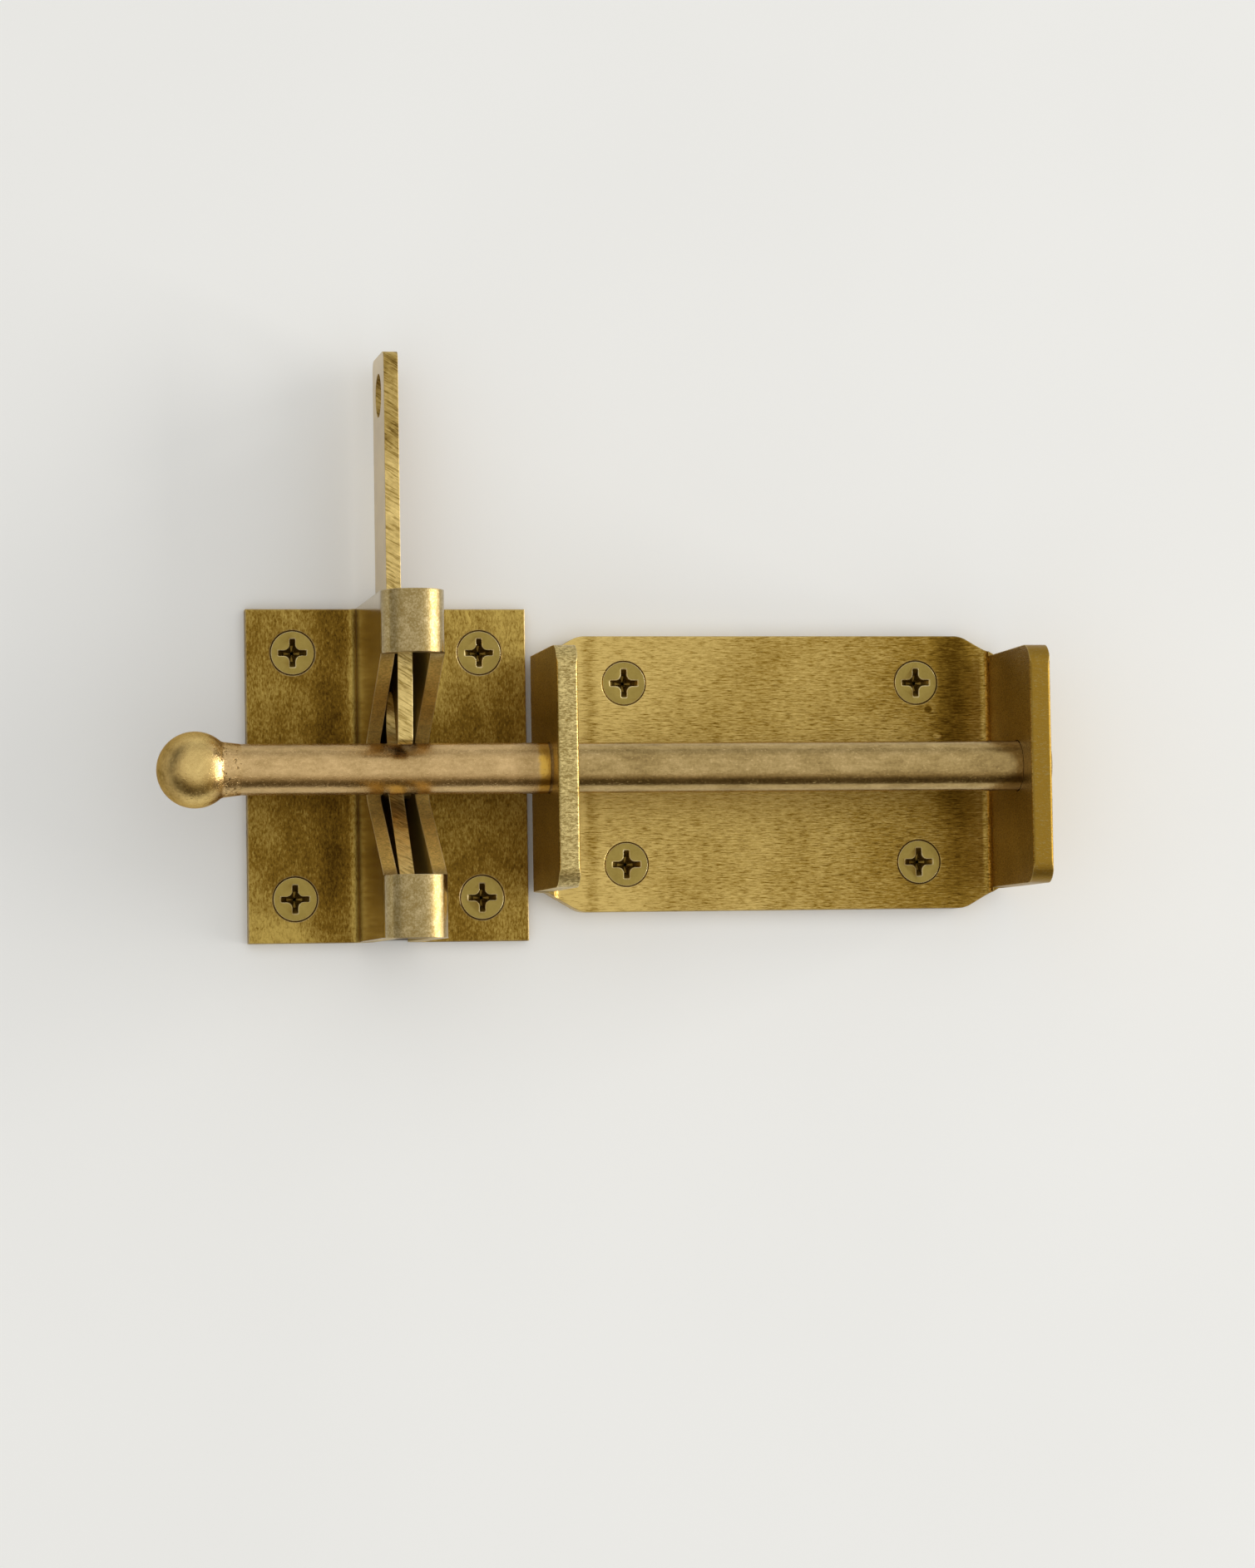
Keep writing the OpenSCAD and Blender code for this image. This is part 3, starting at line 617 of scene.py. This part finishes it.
def disc(vertices, radius, y):
    """A disc across the Y axis, left in editing with all of it selected."""
    deselect()
    bpy.ops.mesh.primitive_circle_add(vertices=vertices, radius=radius, fill_type="NGON",
                                      location=(0.0, y, 0.0), rotation=(math.radians(90.0), 0.0, 0.0))
    made = bpy.context.object
    bpy.ops.object.transform_apply(location=True, rotation=True, scale=True)
    bpy.ops.object.mode_set(mode="EDIT")
    bpy.ops.mesh.select_all(action="SELECT")
    return made


def draw_out(y):
    """Extrudes the selected faces along the Y axis."""
    bpy.ops.mesh.extrude_region_move(TRANSFORM_OT_translate={"value": (0.0, y, 0.0)})


def widen(share, y):
    """Scales the selection about the Y axis, across it alone."""
    bpy.ops.transform.resize(value=(share, 1.0, share), center_override=(0.0, y, 0.0))


def recess_cutter(screws):
    """A cross-shaped punch with hollow corners between its wings, at the origin and pointing to +Y."""
    deselect()
    wing, half, deep = screws.wing, screws.span / 2, screws.depth
    foot_share, pit_share = 0.55, 0.2
    pit, stub = 0.4 * MM, 0.3 * MM
    bpy.ops.mesh.primitive_cube_add(size=1.0, location=(0.0, deep / 2, 0.0))
    cutter = bpy.context.object
    cutter.name = "recess_cutter"
    cutter.scale = (wing, deep, wing)
    bpy.ops.object.transform_apply(location=True, rotation=False, scale=True)
    bpy.ops.object.mode_set(mode="EDIT")
    for way in (Vector((1, 0, 0)), Vector((-1, 0, 0)), Vector((0, 0, 1)), Vector((0, 0, -1))):
        foot = Vector((0.0, deep / 2, 0.0)) + way * wing / 2
        pick(lambda f: f.normal.dot(way) > 0.99 and (f.calc_center_median() - foot).length < wing / 4)
        bpy.ops.mesh.extrude_region_move(TRANSFORM_OT_translate={"value": way * (half - wing / 2)})

    def upright(e):
        return abs(e.verts[0].co.y - e.verts[1].co.y) > deep / 2

    inner, outer = wing / 2 * 1.01, half * 0.99
    pick(lambda e: upright(e) and all(abs(v.co.x) < inner and abs(v.co.z) < inner for v in e.verts), "EDGE")
    bpy.ops.mesh.bevel(offset=screws.hollow, segments=6, affect="EDGES", profile=0.5, clamp_overlap=True)
    pick(lambda e: upright(e) and all(max(abs(v.co.x), abs(v.co.z)) > outer for v in e.verts), "EDGE")
    bpy.ops.mesh.bevel(offset=wing * 0.16, segments=2, affect="EDGES", clamp_overlap=True)
    pick(lambda v: v.co.y > deep / 2, "VERT")
    widen(foot_share, deep)
    pick(lambda f: f.normal.y > 0.99)
    draw_out(pit)
    widen(pit_share, deep + pit)
    pick(lambda f: f.normal.y < -0.99)
    draw_out(-stub)
    face_outward()
    return cutter


def screw_head(screws, head_r, face):
    """The countersunk head and the plain shank, without the recess."""
    y, r = face, head_r - screws.rim
    head = disc(72, r, y)
    edge_start = face + screws.rim
    cone_end = face + screws.seat + (head_r - screws.shank) / math.tan(screws.cone)
    for to_y, to_r in ((edge_start, head_r), (edge_start + screws.edge, head_r), (cone_end, screws.shank),
                       (screws.past, screws.shank), (screws.past + 0.5 * MM, screws.core)):
        draw_out(to_y - y)
        widen(to_r / r, to_y)
        y, r = to_y, to_r
    face_outward()
    return head


def screw_core(screws, start, end, steps=24):
    """The bar inside the thread, in enough steps to be drawn out to a point."""
    core = disc(36, screws.core, start)
    for _ in range(steps):
        draw_out((end - start) / steps)
    face_outward()
    return core


def screw_rib(screws, start, length):
    """The rib of the thread, as a diamond wound round the core and closed at both ends."""
    deselect()
    tall, foot = screws.crest - screws.core, screws.thread_pitch * 0.3
    bpy.ops.mesh.primitive_circle_add(vertices=4, radius=foot, location=(screws.core, start + foot, 0.0))
    rib = bpy.context.object
    bpy.ops.object.transform_apply(location=True, rotation=True, scale=True)
    bpy.ops.object.mode_set(mode="EDIT")
    pick(lambda v: v.co.x > screws.core + foot / 2, "VERT")
    bpy.ops.transform.translate(value=(tall - foot, 0.0, 0.0))
    bpy.ops.object.mode_set(mode="OBJECT")
    m = rib.modifiers.new("turns", "SCREW")
    m.axis = "Y"
    m.screw_offset = screws.thread_pitch
    m.iterations = int((length - 0.4 * MM) / screws.thread_pitch)
    m.steps = m.render_steps = 20
    m.use_smooth_shade = False
    apply_modifiers(rib)
    bpy.ops.object.mode_set(mode="EDIT")
    bpy.ops.mesh.select_all(action="SELECT")
    bpy.ops.mesh.remove_doubles(threshold=1e-6)
    bpy.ops.mesh.select_mode(type="EDGE")
    bpy.ops.mesh.select_all(action="DESELECT")
    bpy.ops.mesh.select_non_manifold()
    bpy.ops.mesh.fill_holes(sides=4)
    face_outward()
    return rib


def screw_thread(screws, start, end):
    """The core and its thread from start to end, with the last stretch drawn out to a point."""
    core = screw_core(screws, start, end)
    rib = screw_rib(screws, start, end - start)
    take(core, rib)
    bpy.ops.object.join()
    bpy.context.scene.cursor.location = (0.0, end - screws.point, 0.0)
    bpy.ops.object.origin_set(type="ORIGIN_CURSOR")
    ys = [v.co.y for v in core.data.vertices]
    m = core.modifiers.new("point", "SIMPLE_DEFORM")
    m.deform_method, m.deform_axis, m.factor = "TAPER", "Y", -0.93
    m.limits = (-min(ys) / (max(ys) - min(ys)), 1.0)
    apply_modifiers(core)
    settle(core)
    bpy.context.scene.cursor.location = (0.0, 0.0, 0.0)
    return core


def punch_recess(head, screws, head_r, face):
    """Punches the cross recess into the head's face and chamfers its rim. Editing stays open."""
    cutter = recess_cutter(screws)
    cutter.location = (0.0, face, 0.0)
    settle(cutter)
    deselect()
    m = head.modifiers.new("recess", "BOOLEAN")
    m.operation, m.solver, m.object = "DIFFERENCE", "EXACT", cutter
    apply_modifiers(head)
    bpy.data.objects.remove(cutter)
    take(head)
    bpy.ops.object.mode_set(mode="EDIT")
    inside = (head_r - 3 * screws.rim) ** 2

    def on_brink(e):
        if any(abs(v.co.y - face) > 1e-6 or v.co.x ** 2 + v.co.z ** 2 > inside for v in e.verts):
            return False
        return len(e.link_faces) == 2 and abs(e.link_faces[0].normal.y - e.link_faces[1].normal.y) > 0.3

    pick(on_brink, "EDGE")
    bpy.ops.mesh.bevel(offset=screws.rim, segments=2, affect="EDGES", clamp_overlap=False)


def colour_head(head, screws, head_r, face, finishes):
    """Gives the head its plain finish, the recess its tarnish and the recess's rim its bright brass."""
    for made in finishes:
        head.data.materials.append(made)

    def in_recess(f):
        c = f.calc_center_median()
        sunk = c.y - face
        reach = min(screws.span / 2, 0.8 * (head_r - sunk))
        return screws.rim < sunk < screws.depth + 0.5 * MM and math.hypot(c.x, c.z) < reach

    def on_rim(f):
        c = f.calc_center_median()
        share = (c.y - face) / screws.rim
        return 0.02 < share < 0.98 and math.hypot(c.x, c.z) < head_r - 2 * screws.rim

    for slot, part in ((1, in_recess), (2, on_rim)):
        if not pick(part):
            raise RuntimeError("the cross recess has no floor or no rim")
        head.active_material_index = slot
        bpy.ops.object.material_slot_assign()
    bpy.ops.object.mode_set(mode="OBJECT")


def wood_screw(name, screws, node, finishes):
    """A flat head wood screw of the CAD screw's own sizes, with its axis along Y through the origin."""
    low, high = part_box(node)
    head_r, face = (high.x - low.x) / 2, low.y
    head = screw_head(screws, head_r, face)
    punch_recess(head, screws, head_r, face)
    colour_head(head, screws, head_r, face, finishes)
    inside_shank = screws.past + 0.3 * MM
    thread = screw_thread(screws, inside_shank, high.y)
    thread.data.materials.append(finishes[0])
    take(head, thread)
    bpy.ops.object.join()
    bpy.ops.object.shade_smooth_by_angle(angle=math.radians(32.0))
    head.name = head.data.name = name
    return head


# ---------------------------------------------------------------- operators

class LATCH_OT_plates(bpy.types.Operator):
    """Finish the guide plate and the keeper plate"""
    bl_idname = "latch.plates"
    bl_label = "Plates"

    def execute(self, context):
        brass = context.scene.latch_brass
        dress("guide_plate", guide_finish(brass))
        dress("keeper_plate", keeper_finish(brass))
        return {"FINISHED"}


class LATCH_OT_toggle(bpy.types.Operator):
    """Finish the toggle with its pin and washers"""
    bl_idname = "latch.toggle"
    bl_label = "Toggle"

    def execute(self, context):
        brass = context.scene.latch_brass
        dress("toggle_lever", lever_finish(brass))
        turned = small_finish("pin_brass", brass.lever_light, brass.lever_dark, brass.keeper_brown, 0.3)
        for node in ("pivot_pin", "pivot_washer_1", "pivot_washer_2", "pivot_washer_3"):
            dress(node, turned)
        return {"FINISHED"}


class LATCH_OT_bolt(bpy.types.Operator):
    """Finish the bolt, its ball and its stop washer"""
    bl_idname = "latch.bolt"
    bl_label = "Bolt"

    def execute(self, context):
        brass = context.scene.latch_brass
        rod = bolt_finish(brass)
        dress("bolt_rod", rod)
        dress("ball_end", ball_finish(brass))
        dress("stop_washer", rod)
        return {"FINISHED"}


SCREWS = [f"{plate}_screw_{i}" for plate in ("guide", "keeper") for i in range(1, 5)]


class LATCH_OT_screws(bpy.types.Operator):
    """Cut the eight wood screws, with their threads and cross recesses"""
    bl_idname = "latch.screws"
    bl_label = "Screws"

    def execute(self, context):
        brass, screws = context.scene.latch_brass, context.scene.latch_screws
        finish = small_finish("screw_brass", brass.screw_light, brass.screw_dark, brass.screw_brown,
                              0.3, 0.35, brass.screw_rim)
        tarnish = small_finish("recess_brass", brass.recess, brass.recess, brass.guide_brown, 0.5)
        bright = small_finish("rim_brass", brass.screw_rim, brass.screw_light, brass.screw_dark, 0.5)
        finishes = (finish, tarnish, bright)
        patterns = {}
        for node in SCREWS:
            kind = node.split("_")[0]
            if kind not in patterns:
                patterns[kind] = wood_screw(kind + "_screw_pattern", screws, node, finishes)
            low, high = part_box(node)
            piece = patterns[kind].copy()
            piece.data = patterns[kind].data.copy()
            piece.name = piece.data.name = node + "_cut"
            context.scene.collection.objects.link(piece)
            piece.location = ((low.x + high.x) / 2, 0.0, (low.z + high.z) / 2)
            settle(piece)
            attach(piece, "mounting")
            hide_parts(node)
        for pattern in patterns.values():
            bpy.data.objects.remove(pattern)
        return {"FINISHED"}


class LATCH_OT_stage(bpy.types.Operator):
    """Set up the wall, the lamps, the room's light and the camera"""
    bl_idname = "latch.stage"
    bl_label = "Stage"

    def openings(self):
        """The wall behind the flat backs of the plates, as lowest and highest x and lowest and highest z."""
        def inset(node, x, z):
            low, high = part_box(node)
            return low.x + x * MM, high.x - x * MM, low.z + z * MM, high.z - z * MM

        left, right, bottom, top = inset("keeper_plate", 0.4, 0.4)
        middle, fold = (left + right) / 2, 8.5 * MM
        return (inset("guide_plate", 4.9, 3.2), inset("guide_plate", 11.0, 0.4),
                (left, middle - fold, bottom, top), (middle + fold, right, bottom, top))

    def wall(self, stage):
        """A plain wall just behind the plates, open where they hide it, and clear when seen from behind."""
        deselect()
        bpy.ops.mesh.primitive_plane_add(size=8.0, location=(0.0, 0.05 * MM, 0.0),
                                         rotation=(math.radians(90.0), 0.0, 0.0))
        wall = bpy.context.object
        wall.name = "wall"
        bpy.ops.object.transform_apply(location=True, rotation=True, scale=True)
        openings = self.openings()
        bpy.ops.object.mode_set(mode="EDIT")
        for x in sorted({side for o in openings for side in o[:2]}):
            bpy.ops.mesh.select_all(action="SELECT")
            bpy.ops.mesh.bisect(plane_co=(x, 0.0, 0.0), plane_no=(1.0, 0.0, 0.0))
        for z in sorted({side for o in openings for side in o[2:]}):
            bpy.ops.mesh.select_all(action="SELECT")
            bpy.ops.mesh.bisect(plane_co=(0.0, 0.0, z), plane_no=(0.0, 0.0, 1.0))

        def hidden(f):
            c = f.calc_center_median()
            return any(o[0] < c.x < o[1] and o[2] < c.z < o[3] for o in openings)

        if not pick(hidden):
            raise RuntimeError("the wall has no openings behind the plates")
        bpy.ops.mesh.delete(type="FACE")
        bpy.ops.object.mode_set(mode="OBJECT")
        if wall.data.polygons[0].normal.y > 0:
            wall.data.flip_normals()
        wall.data.materials.append(self.paint(stage))

    def paint(self, stage):
        """Pale paint, with painted shade on the wall inside the keeper's channel."""
        low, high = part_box("keeper_plate")
        middle, half, tall = (low.x + high.x) / 2 / MM, 5.9, high.z / MM - 0.15
        made, s = material("wall_paint")
        p = s.place()
        x, y, z = s.split(p)
        cloud = s.noise(p, 0.012, 3.0, 0.5).step(0.3, 0.7)
        # painted shade on the wall inside the keeper's channel
        channel = (1.0 - abs(x - middle).step(half - 0.7, half)) * (1.0 - abs(z).step(tall - 0.6, tall))
        colour = s.mix(cloud, [c * 0.985 for c in stage.wall], stage.wall)
        colour = s.mix(channel, colour, stage.channel)
        front = s.node("ShaderNodeBsdfPrincipled", None, {"Base Color": colour, "Roughness": 0.85})
        clear = s.node("ShaderNodeBsdfTransparent")
        behind = s.node("ShaderNodeNewGeometry", None, None, "Backfacing")
        both = s.node("ShaderNodeMixShader", None, {0: behind, 1: front, 2: clear})
        s.node("ShaderNodeOutputMaterial", None, {"Surface": both})
        return made

    def lamp(self, name, power, size, place, colour=(1.0, 1.0, 1.0)):
        """A lamp of this width and height, turned towards the frame's origin."""
        data = bpy.data.lights.new(name, "AREA")
        data.shape = "RECTANGLE"
        data.size, data.size_y = size
        data.energy = power
        data.color = colour
        made = bpy.data.objects.new(name, data)
        bpy.context.scene.collection.objects.link(made)
        made.location = place
        made.rotation_euler = (-Vector(place)).to_track_quat("-Z", "Y").to_euler()

    def room(self, stage):
        """Even light for the surfaces, and what the brass reflects: a bright room with a brown floor."""
        world = bpy.data.worlds.new("room")
        bpy.context.scene.world = world
        world.use_nodes = True
        s = Shade(world.node_tree)
        x, y, z = s.split(s.node("ShaderNodeTexCoord", None, None, "Generated"))
        outward = -y
        floor = (1.0 - outward.step(0.45, 0.95)) * (-z).step(0.1, 0.5)
        sideways = 1.0 - outward.step(0.1, 0.75)
        up_left = (0.41 * z - 0.91 * x).step(0.7, 0.95)
        dusk = sideways * (0.45 * up_left + 0.22 * (-x).step(0.2, 0.8) + 0.28 * z.step(0.2, 0.9))
        reflected = 0.84 - (0.74 * floor + dusk).least(0.75) + 0.25 * x.step(0.2, 0.9)
        even = (0.41 + 1.18 * outward * outward) * stage.fill
        glossy = s.node("ShaderNodeLightPath", None, None, "Is Glossy Ray")
        camera = s.node("ShaderNodeLightPath", None, None, "Is Camera Ray")
        strength = blend(camera, blend(glossy, even, reflected), 0.82)
        tint = s.mix(floor * glossy, (1.0, 0.985, 0.955), (1.0, 0.76, 0.4))
        light = s.node("ShaderNodeBackground", None, {"Color": tint, "Strength": strength})
        s.node("ShaderNodeOutputWorld", None, {"Surface": light})

    def camera(self, stage):
        data = bpy.data.cameras.new("camera")
        data.lens, data.sensor_width, data.sensor_fit = stage.lens, 36.0, "AUTO"
        made = bpy.data.objects.new("camera", data)
        bpy.context.scene.collection.objects.link(made)
        eye, aim = Vector(stage.eye), Vector(stage.aim)
        made.location = MIDDLE + eye
        made.rotation_euler = (aim - eye).to_track_quat("-Z", "Y").to_euler()
        made.rotation_euler.rotate_axis("Z", stage.roll)
        bpy.context.scene.camera = made

    def execute(self, context):
        stage = context.scene.latch_stage
        context.scene.view_settings.view_transform = "Standard"
        self.wall(stage)
        self.lamp("key", stage.key, (1.3, 2.2), (2.55, -0.62, 0.05), (1.0, 0.975, 0.93))
        self.lamp("back", stage.back, (1.0, 1.0), (-0.8, 1.3, 0.9))
        self.room(stage)
        self.camera(stage)
        return {"FINISHED"}


class LATCH_PT_sidebar(bpy.types.Panel):
    """Lists the latch's pieces and settings"""
    bl_label = "Toggle Bolt Latch"
    bl_idname = "LATCH_PT_sidebar"
    bl_space_type = "VIEW_3D"
    bl_region_type = "UI"
    bl_category = "Latch"

    def draw(self, context):
        column = self.layout.column(align=True)
        for made in OPERATORS:
            column.operator(made.bl_idname)
        for group in ("latch_brass", "latch_screws", "latch_stage"):
            settings = getattr(context.scene, group)
            box = self.layout.box()
            for name in settings.__annotations__:
                box.prop(settings, name)


OPERATORS = (LATCH_OT_plates, LATCH_OT_toggle, LATCH_OT_bolt, LATCH_OT_screws, LATCH_OT_stage)
CLASSES = (LatchBrass, LatchScrews, LatchStage, *OPERATORS, LATCH_PT_sidebar)


def register():
    for made in CLASSES:
        bpy.utils.register_class(made)
    bpy.types.Scene.latch_brass = PointerProperty(type=LatchBrass)
    bpy.types.Scene.latch_screws = PointerProperty(type=LatchScrews)
    bpy.types.Scene.latch_stage = PointerProperty(type=LatchStage)


def unregister():
    for name in ("latch_stage", "latch_screws", "latch_brass"):
        delattr(bpy.types.Scene, name)
    for made in reversed(CLASSES):
        bpy.utils.unregister_class(made)


def main():
    register()
    bpy.ops.latch.plates()
    bpy.ops.latch.toggle()
    bpy.ops.latch.bolt()
    bpy.ops.latch.screws()
    bpy.ops.latch.stage()
    deselect()


if __name__ == "__main__":
    main()
